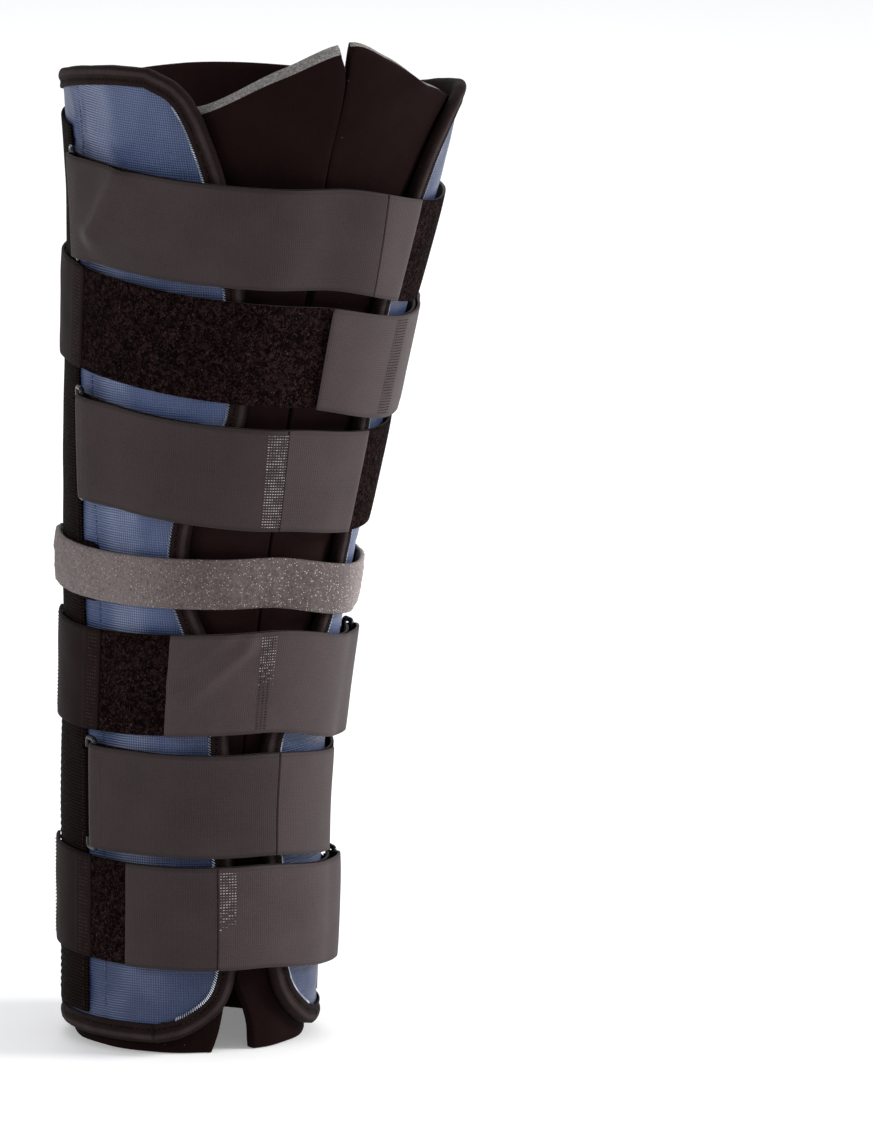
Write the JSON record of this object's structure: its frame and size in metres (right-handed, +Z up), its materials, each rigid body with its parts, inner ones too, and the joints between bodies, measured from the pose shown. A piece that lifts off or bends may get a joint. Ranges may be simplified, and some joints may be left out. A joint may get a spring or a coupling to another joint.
{
  "type": "knee immobilizer",
  "caption": "Long padded knee immobilizer: an open foam tube with cloth side panels, wide hook-and-loop straps folded through wire rings and a narrow foam strap over the knee.",
  "frame": {"origin": "under the middle of the whole thing, on the surface that its lower rim stands on", "axes": "+Z up the leg, -Y to the front of the knee, -X to the lateral side (outer side) of a right leg"},
  "size_m": [0.2034, 0.1938, 0.512],
  "materials": {
    "black_foam": "matt black cloth-faced foam",
    "blue_cloth": "fine ribbed steel-blue loop cloth",
    "binding_tape": "dark folded tape",
    "ribbed_webbing": "dark ribbed webbing",
    "strap_webbing": "dark grey woven strap with a black pile face",
    "black_wire": "glossy black coated wire",
    "grey_foam": "speckled grey foam strap"
  },
  "bodies": {
    "root": {"foam_wrap": "black_foam", "lateral_panel": "blue_cloth", "medial_panel": "blue_cloth", "lateral_binding": "binding_tape", "medial_binding": "binding_tape", "lateral_stay_webbing": "ribbed_webbing", "medial_stay_webbing": "ribbed_webbing", "strap_1": "strap_webbing", "strap_2": "strap_webbing", "strap_3": "strap_webbing", "strap_4": "strap_webbing", "strap_5": "strap_webbing", "strap_6": "strap_webbing", "strap_1_anchor": "strap_webbing", "strap_2_anchor": "strap_webbing", "strap_3_anchor": "strap_webbing", "strap_4_anchor": "strap_webbing", "strap_5_anchor": "strap_webbing", "strap_6_anchor": "strap_webbing", "ring_1": "black_wire", "ring_2": "black_wire", "ring_3": "black_wire", "ring_4": "black_wire", "ring_5": "black_wire", "ring_6": "black_wire", "ring_1_tab": "ribbed_webbing", "ring_2_tab": "ribbed_webbing", "ring_3_tab": "ribbed_webbing", "ring_4_tab": "ribbed_webbing", "ring_5_tab": "ribbed_webbing", "ring_6_tab": "ribbed_webbing", "patella_strap": "grey_foam", "patella_strap_lateral_tab": "strap_webbing", "patella_strap_medial_tab": "strap_webbing"}
  },
  "joints": []
}
